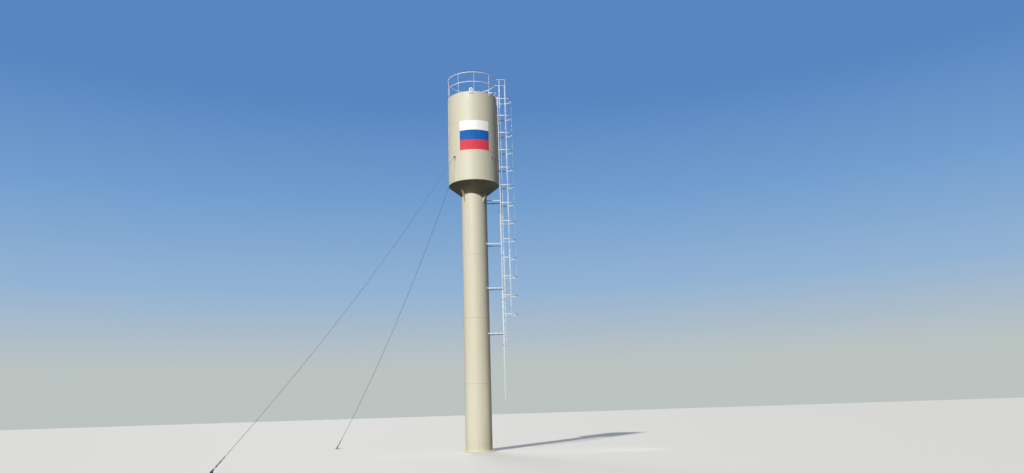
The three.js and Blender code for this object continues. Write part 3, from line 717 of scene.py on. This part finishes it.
def stripes():
    """Three bands of paint, from the seam below the middle course to the one above it."""
    inner, start = TANK_RADIUS + GAP, STRIPE_CENTRE - STRIPE_HALF_ANGLE
    paints = {"stripe_red": STRIPE_RED, "stripe_blue": STRIPE_BLUE, "stripe_white": STRIPE_WHITE}
    for row, (node, paint) in enumerate(paints.items()):
        low = TANK_BOTTOM + TANK_COURSE + row * STRIPE_HEIGHT + GAP
        band = ring(inner, inner + STRIPE_THICKNESS, low, low + STRIPE_HEIGHT - GAP, 0.0003,
                    steps=48, start=start, sweep=2 * STRIPE_HALF_ANGLE)
        finished(band, node, paint)


# Plates welded to the tank

def lifting_eyes():
    """Ring plates on the tank's wall at the rim, with a thick cheek round the hole."""
    half, height, drop, seat, thickness, hole = 0.095, 0.18, 0.115, 1.232, 0.02, 0.042
    centre, foot = TANK_TOP + height - half, TANK_TOP - drop
    outline = [(-half, foot), (half, foot), *arc((0, centre), half, 0, 180, 28)]
    eye = drilled(upright(outline, thickness, 0.003), (0, -0.1, centre), (0, 0.1, centre), hole)
    cheek = spun([(hole, -0.013), (hole + 0.018, -0.013), (hole + 0.021, -0.01),
                  (hole + 0.021, 0.01), (hole + 0.018, 0.013), (hole, 0.013), (hole, -0.013)], 36)
    placed(cheek, Matrix.Translation((0, 0, centre)) @ Matrix.Rotation(math.radians(90), 4, "X"))
    toe, inside = 0.008, thickness / 2 + 0.001
    welds = [box((-half, -0.002, foot - toe), (half, inside, foot + 0.002), 0.003)]
    for side in (-1, 1):
        corner = [(side * half, inside, foot), (side * (half + toe), inside, foot),
                  (side * half, inside - toe - 0.002, foot)]
        welds.append(plate(corner, (0, 0, drop - 0.004)))
    eye = moved(joined(*welds, cheek, eye), (0, -seat, 0))
    for node, degrees in (("lifting_eye_front", -2.3), ("lifting_eye_back", 182.3)):
        finished(turned_to(copy(eye), degrees), node, SKY_TINTED_WHITE)
    bpy.data.objects.remove(eye)


def guy_lugs():
    """Rounded plates with a pin hole, on the diagonals."""
    wall, half = TANK_RADIUS + 0.0012, LUG_DEPTH / 2
    outline = [(wall, LUG_HEIGHT + half), (wall, LUG_HEIGHT - half),
               *arc((LUG_TIP, LUG_HEIGHT), half, -90, 90, 20)]
    lug = upright(outline, LUG_THICKNESS, 0.002)
    drilled(lug, (LUG_TIP, -0.1, LUG_HEIGHT), (LUG_TIP, 0.1, LUG_HEIGHT), PIN_RADIUS + GAP)
    low = LUG_HEIGHT - half - 0.004
    welds = corner_welds(TANK_RADIUS, LUG_THICKNESS / 2, 0.008, low, LUG_DEPTH + 0.008)
    finished_on_corners(joined(*welds, lug), "guy_lug", LUG_CREAM)


# The guard rail

def rail_arc(height, start, end):
    """One rail from an angle to another."""
    section = arc((RAIL_CIRCLE, height), RAIL_TUBE, 0, 360, 16)
    return spun(section, max(8, round((end - start) / 2)), start, end - start)


def post(degrees):
    """A tube with a flattened foot on the tank's wall and a weld at each rail."""
    inner, outer, face = POST_TUBE - 0.002, POST_TUBE + 0.004, TANK_RADIUS + 0.007
    top = (RAIL_CIRCLE + 0.0008, 0, RAIL_TOP)
    upper = rod((RAIL_CIRCLE, 0, POST_FOOT), top, POST_TUBE - 0.0005, 16)
    foot = box((TANK_RADIUS + 0.0005, -0.018, POST_FOOT - 0.002),
               (face, 0.018, POST_FOOT + 0.11), 0.002)
    collars = []
    for z in (RAIL_MIDDLE - RAIL_TUBE, RAIL_MIDDLE + RAIL_TUBE, RAIL_TOP - RAIL_TUBE):
        weld = [(inner, z - 0.006), (outer, z - 0.002), (outer, z + 0.002), (inner, z + 0.006)]
        collars.append(spun(weld + weld[:1], 16))
    collars = moved(joined(*collars), (RAIL_CIRCLE, 0, 0))
    bolts = [bolt((face, y, z), (1, 0, 0), 0.005, 0.004)
             for y in (-0.013, 0.013) for z in (POST_FOOT + 0.02, POST_FOOT + 0.09)]
    return turned_to(joined(*bolts, collars, foot, upper), degrees)


def guard_rail():
    """Four lengths of two rails and their posts, with a gap at the ladder."""
    opening = math.degrees(math.asin(RAIL_OPENING / RAIL_CIRCLE))
    joint = (POST_ANGLES[1] + POST_ANGLES[2]) / 2
    spans = ((opening, joint, POST_ANGLES[:2]), (joint + 0.02, 179.98, POST_ANGLES[2:]))
    for side, sign in (("back", 1), ("front", -1)):
        for index, (start, end, angles) in enumerate(spans):
            low, high = (start, end) if sign > 0 else (-end, -start)
            parts = [rail_arc(height, low, high) for height in (RAIL_MIDDLE, RAIL_TOP)]
            parts += [post(sign * degrees) for degrees in angles]
            finished(joined(*parts), f"guard_rail_{side}_{index + 1}", SKY_LIT_RAIL_WHITE)


# The ladder and its cage

def stringer_outline(low, high, bent):
    """A stringer from the side; the last one bends over the rim and lands on the roof."""
    near, far = LADDER_FACE, LADDER_FACE + STRINGER
    if not bent:
        return [(near, low), (far, low), (far, high), (near, high)]
    outer = BEND + STRINGER
    under = LADDER_TOP - outer
    tip = LADDER_TIP + outer
    return [(near, low), (far, low), *arc((far - outer, under), outer, 0, 90, 14),
            *arc((tip, under), outer, 90, 180, 14), (LADDER_TIP, roof_at(LADDER_TIP) + 0.0005),
            (LADDER_TIP + STRINGER, roof_at(LADDER_TIP + STRINGER) + 0.0005),
            *arc((tip, under), BEND, 180, 90, 10), *arc((near - BEND, under), BEND, 90, 0, 10)]


def rung(x, z):
    """A round rung whose ends come through the stringers and are welded there."""
    reach = LADDER_HALF - 0.001
    ends = [rod((x, side * reach, z), (x, side * (reach + 0.0025), z), RUNG_RADIUS + 0.003, 10)
            for side in (-1, 1)]
    return joined(*ends, rod((x, -reach, z), (x, reach, z), RUNG_RADIUS, 12))


def ladder():
    """Three lengths of stringers and rungs, the last one bent over the tank's rim."""
    middle = LADDER_HALF - STRINGER_THICKNESS / 2
    rung_x = LADDER_FACE + STRINGER / 2
    for index, (low, high) in enumerate(zip(LADDER_JOINTS, LADDER_JOINTS[1:])):
        last = high == LADDER_JOINTS[-1]
        top = high if last else high - GAP
        outline = stringer_outline(low, top, last)
        first = upright(outline, STRINGER_THICKNESS, 0.0012, -middle)
        parts = [moved(copy(first), (0, 2 * middle, 0)), first]
        count = math.ceil((top - low - RUNG / 2) / RUNG)
        parts.append(repeated(rung(rung_x, low + RUNG / 2), count, (0, 0, RUNG)))
        if last:
            tread = LADDER_TOP - STRINGER / 2
            parts += [rung(x, tread) for x in (LADDER_FACE - BEND, LADDER_TIP + BEND + STRINGER)]
            parts += tank_tabs(middle)
        else:
            parts += splices(high)
        finished(joined(*parts), f"ladder_section_{index + 1}", SKY_TINTED_LADDER_WHITE)


def tank_tabs(middle):
    """Flat bars from the tank's wall to the stringers."""
    half = STRINGER_THICKNESS / 2
    wall = math.sqrt(TANK_RADIUS ** 2 - (middle - half) ** 2)
    tabs = []
    for z in TANK_TABS:
        for y in (-middle, middle):
            low = (wall, y - half, z - BAR / 2)
            tabs.append(box(low, (LADDER_FACE + 0.002, y + half, z + BAR / 2), 0.0015))
    return tabs


def splices(height):
    """Plates that join one length of stringer to the next, on their inner faces."""
    x, inside = LADDER_FACE + STRINGER / 2, LADDER_HALF - STRINGER_THICKNESS
    made = []
    for side in (-1, 1):
        face, back = side * inside, side * (inside - 0.006)
        low = (x - 0.017, min(face, back), height - 0.12)
        made.append(box(low, (x + 0.017, max(face, back), height - 0.001), 0.001))
        made += [bolt((x, back, height - h), (0, -side, 0), 0.007) for h in (0.03, 0.09)]
    return made


def ladder_brackets():
    """Pairs of angle bars on a curved pad, bolted between the ladder's stringers."""
    outer = LADDER_HALF - STRINGER_THICKNESS - GAP
    inner = outer - BAR_THICKNESS
    root, end = math.sqrt(COLUMN_RADIUS ** 2 - outer ** 2), LADDER_FACE + 0.01
    low, high = -BAR / 2, BAR / 2
    flange = high - BAR_THICKNESS
    angle = [(outer, low), (outer, high), (outer - BAR, high), (outer - BAR, flange),
             (inner, flange), (inner, low)]
    bars, bolts = [], []
    for side in (-1, 1):
        bar = plate([(root, side * y, z) for y, z in angle], (end - root, 0, 0))
        column = ((0, 0, -0.1), (0, 0, 0.1), COLUMN_RADIUS + 0.0008, TOWER_SIDES)
        bars.append(drilled(bevelled(bar, 0.0012), *column))
        bolts.append(bolt((LADDER_FACE - 0.014, side * inner, -0.005), (0, -side, 0), 0.0075))
    pad = ring(COLUMN_RADIUS + GAP, COLUMN_RADIUS + BAR_THICKNESS, -0.055, 0.055, 0.002,
               steps=30, start=-30, sweep=60)
    bracket = joined(*bolts, pad, *bars)
    for index, height in enumerate(BRACKET_HEIGHTS):
        made = moved(copy(bracket), (0, 0, height))
        finished(made, f"ladder_bracket_{index + 1}", SKY_TINTED_WHITE)
    bpy.data.objects.remove(bracket)


def round_the_back(ends, radius):
    """A line from one stringer round the cage to the other, from one side's points."""
    half_circle = arc((CAGE_CENTRE, 0), radius, -90, 90, 48)
    return ends + half_circle + [(x, -y) for x, y in reversed(ends)]


def hoop():
    """A flat bar round the ladder's back, its ends turned in to the stringers."""
    seat, back = LADDER_HALF + GAP, LADDER_HALF + GAP + HOOP_THICKNESS
    start, flare = LADDER_FACE + 0.004, LADDER_FACE + STRINGER + 0.008
    jog, inner = INNER_STRAP - 0.02, CAGE_RADIUS - HOOP_THICKNESS
    outer_ends = [(start, -back), (flare - 0.004, -back), (jog - 0.004, -CAGE_RADIUS)]
    inner_ends = [(start, -seat), (flare, -seat), (jog, -inner)]
    outline = round_the_back(outer_ends, CAGE_RADIUS) + round_the_back(inner_ends, inner)[::-1]
    made = plate([(x, y, -HOOP_HEIGHT / 2) for x, y in outline], (0, 0, HOOP_HEIGHT))
    bevelled(made, 0.001, 1)
    bolts = [bolt((CAGE_CENTRE + CAGE_RADIUS, 0, 0), (1, 0, 0))]
    turn = math.asin((MIDDLE_STRAP - CAGE_CENTRE) / CAGE_RADIUS)
    for side in (-1, 1):
        away = Vector((math.sin(turn), side * math.cos(turn), 0))
        bolts += [bolt((INNER_STRAP, side * CAGE_RADIUS, 0), (0, side, 0)),
                  bolt(Vector((CAGE_CENTRE, 0, 0)) + CAGE_RADIUS * away, away),
                  bolt((start + 0.018, side * back, 0), (0, side, 0))]
    return joined(*bolts, made)


def cage():
    """Hoops and the straps that tie them, in lengths; the last one reaches the guard rail."""
    first_hoop = hoop()
    lowest = CAGE_TOP - (sum(HOOPS) - 1) * HOOP_PITCH
    half = STRAP / 2
    for section, count in enumerate(HOOPS):
        first, last = section == 0, section == len(HOOPS) - 1
        highest = lowest + (count - 1) * HOOP_PITCH
        low = lowest - HOOP_HEIGHT / 2 if first else lowest - HOOP_PITCH / 2 + GAP
        high = RAIL_TOP if last else highest + HOOP_PITCH / 2
        parts = [repeated(moved(copy(first_hoop), (0, 0, lowest)), count, (0, 0, HOOP_PITCH))]
        for x in (INNER_STRAP, MIDDLE_STRAP):
            foot = INNER_STRAP_FOOT if first and x == INNER_STRAP else low
            near = (x - half, STRAP_FACE - STRAP_THICKNESS, foot)
            strap = box(near, (x + half, STRAP_FACE, high), 0.001)
            other = moved(copy(strap), (0, STRAP_THICKNESS - 2 * STRAP_FACE, 0))
            parts += [strap, other]
        crown = CAGE_CENTRE + STRAP_FACE
        crown_top = highest + HOOP_HEIGHT / 2 if last else high
        parts.append(box((crown - STRAP_THICKNESS, -half, low), (crown, half, crown_top), 0.001))
        if last:
            parts += cage_arms()
        finished(joined(*parts), f"cage_section_{section + 1}", SKY_TINTED_LADDER_WHITE)
        lowest = highest + HOOP_PITCH
    bpy.data.objects.remove(first_hoop)


def cage_arms():
    """Flat bars along the cage's top, from the rail's ends to the middle straps."""
    start = math.sqrt(TANK_RADIUS ** 2 - RAIL_OPENING ** 2) - RAIL_TUBE
    end = MIDDLE_STRAP + STRAP / 2
    inner, outer = STRAP_FACE - 0.002, STRAP_FACE + STRAP_THICKNESS
    arms = []
    for side in (-1, 1):
        near, far = sorted((side * inner, side * outer))
        low, high = RAIL_TOP - STRAP / 2, RAIL_TOP + STRAP / 2
        arms.append(box((start, near, low), (end, far, high), 0.001))
        arms += [bolt((x, side * outer, RAIL_TOP), (0, side, 0), 0.007)
                 for x in (INNER_STRAP, MIDDLE_STRAP - 0.002)]
    return arms


# The guys

class GuyLine:
    """A guy's curve in its own upright plane, x outwards from the tower and z up."""

    def __init__(self, distance, sag_share):
        self.start = Vector((LUG_TIP, 0, LUG_HEIGHT))
        self.end = Vector((distance, 0, ANCHOR_PIN))
        self.pull = (self.start + self.end) / 2
        self.pull.z -= 2 * sag_share * (self.end - self.start).length
        steps = 2000
        self.lengths = [0.0]
        self.points = [self.at(k / steps) for k in range(steps + 1)]
        for here, there in zip(self.points, self.points[1:]):
            self.lengths.append(self.lengths[-1] + (there - here).length)
        self.length = self.lengths[-1]

    def at(self, t):
        return self.start * (1 - t) ** 2 + self.pull * (2 * t * (1 - t)) + self.end * t ** 2

    def point(self, distance):
        """The place at a distance along the curve."""
        low, high = 0, len(self.lengths) - 1
        while high - low > 1:
            middle = (low + high) // 2
            if self.lengths[middle] <= distance:
                low = middle
            else:
                high = middle
        share = (distance - self.lengths[low]) / (self.lengths[high] - self.lengths[low])
        return self.points[low].lerp(self.points[high], share)

    def frame(self, distance, away=1):
        """A place on the curve whose Z axis points along it, away from the pin."""
        ahead = min(distance + 0.01, self.length)
        along = (self.point(ahead) - self.point(ahead - 0.02)).normalized() * away
        side = Vector((0, 1, 0))
        across = side.cross(along)
        turn = Matrix((across, side, along)).transposed().to_4x4()
        return Matrix.Translation(self.point(min(distance, self.length))) @ turn


def clevis():
    """A fork round a lug, its pin at the origin and its neck pointing up Z."""
    inner, outer, side_x = LUG_THICKNESS / 2 + GAP, FORK_OUTER, FORK_HALF * 0.86
    outline = [*arc((0, 0), FORK_HALF, 180, 360, 16), (side_x, 0.085), (-side_x, 0.085)]
    cheeks = []
    for side in (-1, 1):
        near, far = sorted((side * inner, side * outer))
        cheek = plate([(x, near, z) for x, z in outline], (0, far - near, 0))
        cheeks.append(bevelled(cheek, 0.0015))
    bridge = box((-side_x, -outer, 0.078), (side_x, outer, 0.1), 0.003)
    neck = spun([(0, 0.098), (0.022, 0.098), (0.021, 0.104), (0.0145, FORK_LENGTH),
                 (0, FORK_LENGTH)], 20)
    pin = rod((0, -outer - 0.006, 0), (0, outer + 0.004, 0), PIN_RADIUS - GAP, 20, 0.001)
    head = rod((0, outer + 0.0005, 0), (0, outer + 0.0055, 0), PIN_RADIUS + 0.005, 6, 0.001)
    split = rod((-0.022, -outer - 0.0035, 0), (0.022, -outer - 0.0035, 0), 0.002, 8)
    return joined(split, head, pin, neck, bridge, *cheeks)


def rope(line, start, end):
    """Six strands laid round each other, swept along the guy's curve."""
    section = bpy.data.curves.new("strands", "CURVE")
    section.dimensions = "2D"
    ring_line = section.splines.new("POLY")
    ring_line.points.add(2 * ROPE_STRANDS - 1)
    for k, point in enumerate(ring_line.points):
        turn = math.pi * k / ROPE_STRANDS
        reach = ROPE_RADIUS * (1.0 if k % 2 else 0.78)
        point.co = (reach * math.cos(turn), reach * math.sin(turn), 0, 1)
    ring_line.use_cyclic_u = True
    profile = bpy.data.objects.new("strands", section)
    data = bpy.data.curves.new("rope", "CURVE")
    data.dimensions = "3D"
    data.bevel_mode = "OBJECT"
    data.bevel_object = profile
    data.use_fill_caps = True
    data.twist_mode = "Z_UP"
    path = data.splines.new("POLY")
    count = round((end - start) / ROPE_LAY * ROPE_STEPS_A_TURN)
    path.points.add(count)
    for k, point in enumerate(path.points):
        away = start + (end - start) * k / count
        point.co = (*line.point(away), 1)
        point.tilt = 2 * math.pi * k / ROPE_STEPS_A_TURN
    made = bpy.data.objects.new("rope", data)
    bpy.context.collection.objects.link(profile)
    bpy.context.collection.objects.link(made)
    only(made)
    bpy.ops.object.convert(target="MESH")
    bpy.data.objects.remove(profile)
    bpy.ops.object.mode_set(mode="EDIT")
    return closed_up()


def thread(start, end, radius):
    """A threaded rod up Z."""
    turns = round((end - start) / SCREW_PITCH)
    root, top = radius - 0.0012, start + turns * SCREW_PITCH
    outline = [(0, start)]
    for k in range(turns):
        z = start + k * SCREW_PITCH
        outline += [(root, z + 0.0003), (radius, z + SCREW_PITCH / 2)]
    return spun(outline + [(root, top), (0, top)], 12)


def turnbuckle(line):
    """From the anchor's pin up: fork, screw, open barrel, screw and the rope's socket."""
    far = TURNBUCKLE - 0.0003
    low, high = 0.19, TURNBUCKLE - 0.16
    bars = [box((side * 0.0155 - 0.0055, -0.011, low + 0.02),
                (side * 0.0155 + 0.0055, 0.011, high - 0.02), 0.003) for side in (-1, 1)]
    ends = [spun([(0.0085, z), (0.0225, z), (0.024, z + 0.004), (0.024, z + 0.032),
                  (0.0225, z + 0.036), (0.0085, z + 0.036), (0.0085, z)], 20)
            for z in (low, high - 0.036)]
    screws = [thread(0.105, low + 0.1, SCREW_RADIUS),
              thread(high - 0.09, far - 0.055, SCREW_RADIUS)]
    nuts = [rod((0, 0, z), (0, 0, z + 0.012), 0.019, 6, 0.001)
            for z in (low - 0.013, high + 0.001)]
    socket = spun([(0, far - 0.06), (0.017, far - 0.06), (0.0195, far - 0.055),
                   (0.0195, far - 0.02), (0.013, far), (0, far)], 20)
    made = joined(*bars, *ends, *screws, *nuts, socket, clevis())
    return placed(made, line.frame(line.length, -1))


def guy_anchor(distance):
    """A plate on four studs, with an upright lug for the turnbuckle's fork."""
    half, thickness, lug_half, toe = 0.13, 0.012, 0.09, 0.008
    foot = box((-half, -half, 0), (half, half, thickness), 0.002)
    outline = [(-lug_half, thickness - 0.002), (lug_half, thickness - 0.002),
               *arc((0, ANCHOR_PIN), 0.045, 0, 180, 20)]
    lug = upright(outline, LUG_THICKNESS, 0.002)
    drilled(lug, (0, -0.1, ANCHOR_PIN), (0, 0.1, ANCHOR_PIN), PIN_RADIUS + GAP)
    weld = box((-lug_half - toe / 2, -LUG_THICKNESS / 2 - toe, thickness - 0.001),
               (lug_half + toe / 2, LUG_THICKNESS / 2 + toe, thickness + 0.005), 0.003)
    studs = []
    for x, y in ((-0.1, -0.1), (-0.1, 0.1), (0.1, -0.1), (0.1, 0.1)):
        studs += stud(x, y, thickness, ANCHOR_STUD)
    return moved(joined(*studs, weld, lug, foot), (distance, 0, 0))


def guys():
    """Each guy end to end: its rope with a fork on the lug, its turnbuckle and its anchor."""
    for name, degrees, distance, sag in GUYS:
        line = GuyLine(distance, sag)
        strand = rope(line, 0.098, line.length - TURNBUCKLE - 0.0002)
        upper = placed(clevis(), line.frame(0.0))
        pieces = {"wire": joined(upper, strand), "turnbuckle": turnbuckle(line),
                  "anchor": guy_anchor(distance)}
        for kind, made in pieces.items():
            finished(turned_to(made, degrees), f"guy_{kind}_{name}", ZINC)


# The setting

def camera():
    """The camera where the photograph was taken from, with its view."""
    data = bpy.data.cameras.new("camera")
    data.sensor_width = SENSOR_WIDTH
    data.lens = FOCAL_PIXELS / PHOTO_WIDTH * SENSOR_WIDTH
    data.clip_end = 1000
    eye = bpy.data.objects.new("camera", data)
    heading = Matrix.Rotation(math.radians(-YAW), 4, "Z")
    tilt = Matrix.Rotation(math.radians(90 + PITCH), 4, "X")
    roll = Matrix.Rotation(math.radians(ROLL), 4, "Z")
    eye.matrix_world = Matrix.Translation(EYE) @ heading @ tilt @ roll
    bpy.context.collection.objects.link(eye)
    bpy.context.scene.camera = eye


def to_camera(tree):
    """1 for what the camera sees itself, and 0 for the light that is cast."""
    return tree.nodes.new("ShaderNodeLightPath").outputs["Is Camera Ray"]


def floor():
    """Pale to the camera, but it throws back little light onto the tower."""
    bpy.ops.object.select_all(action="DESELECT")
    bpy.ops.mesh.primitive_plane_add(size=900)
    plane = bpy.context.object
    plane.name = "floor"
    material = bpy.data.materials.new("floor")
    material.use_nodes = True
    tree = material.node_tree
    shader = tree.nodes["Principled BSDF"]
    shader.inputs["Roughness"].default_value = 0.9
    colour = mixed(tree, to_camera(tree), rgba(FLOOR_CAST), rgba(FLOOR_SEEN))
    tree.links.new(colour, shader.inputs["Base Color"])
    plane.data.materials.append(material)


def by_height(tree, height, stops):
    """Colours that blend into each other from one height above the horizon to the next."""
    ramp = tree.nodes.new("ShaderNodeValToRGB")
    for _ in stops[2:]:
        ramp.color_ramp.elements.new(1.0)
    for element, (position, colour) in zip(ramp.color_ramp.elements, stops):
        element.position = position
        element.color = rgba(colour)
    tree.links.new(height, ramp.inputs["Fac"])
    return ramp.outputs["Color"]


def backdrop():
    """A plain wall of soft light all round: what the camera sees, and what falls on the tower."""
    world = bpy.data.worlds.new("backdrop")
    world.use_nodes = True
    tree = world.node_tree
    height = height_of(tree, "Generated")
    cast, seen = by_height(tree, height, BACKDROP_CAST), by_height(tree, height, BACKDROP_SEEN)
    colour = mixed(tree, to_camera(tree), cast, seen)
    tree.links.new(colour, tree.nodes["Background"].inputs["Color"])
    bpy.context.scene.world = world


def lamp(name, kind, energy, colour, turn, place=(0, 0, 0)):
    """A light of a kind at a place, turned the way it shines."""
    data = bpy.data.lights.new(name, kind)
    data.energy, data.color = energy, colour
    made = bpy.data.objects.new(name, data)
    made.location, made.rotation_euler = place, turn
    bpy.context.collection.objects.link(made)
    return made


def far_light(name, azimuth, height, strength, softness, colour):
    """A light that stands at an angle round the tower and a height, in degrees."""
    turn = Euler((math.radians(90 - height), 0, math.radians(azimuth + 90)))
    made = lamp(name, "SUN", strength, colour, turn)
    made.data.angle = math.radians(softness)


def low_panel(place, aim, size, power):
    """A wide soft panel near the floor, warm and unseen, that lifts the column's lower end."""
    turn = (Vector(aim) - Vector(place)).to_track_quat("-Z", "Y").to_euler()
    made = lamp("low panel", "AREA", power, WARM, turn, place)
    made.data.size, made.data.spread = size, math.radians(90)
    made.visible_camera = False


camera()
base_plate()
column()
cone_bottom()
cone_gussets()
tank()
tank_roof()
roof_hatch()
stripes()
lifting_eyes()
guy_lugs()
guard_rail()
ladder()
ladder_brackets()
cage()
guys()

floor()
backdrop()
far_light("key", azimuth=241.5, height=38.6, strength=4.27, softness=1, colour=(1.0, 0.985, 0.93))
far_light("fill", azimuth=102, height=30, strength=1.2, softness=20, colour=(0.92, 0.96, 1.0))
low_panel(place=(8.6, -3.6, 1.4), aim=(0, 0, 2.2), size=2.0, power=30)
low_panel(place=(-5.5, -2.6, 1.3), aim=(0, 0, 1.2), size=2.0, power=6)
bpy.context.scene.view_settings.view_transform = "Standard"
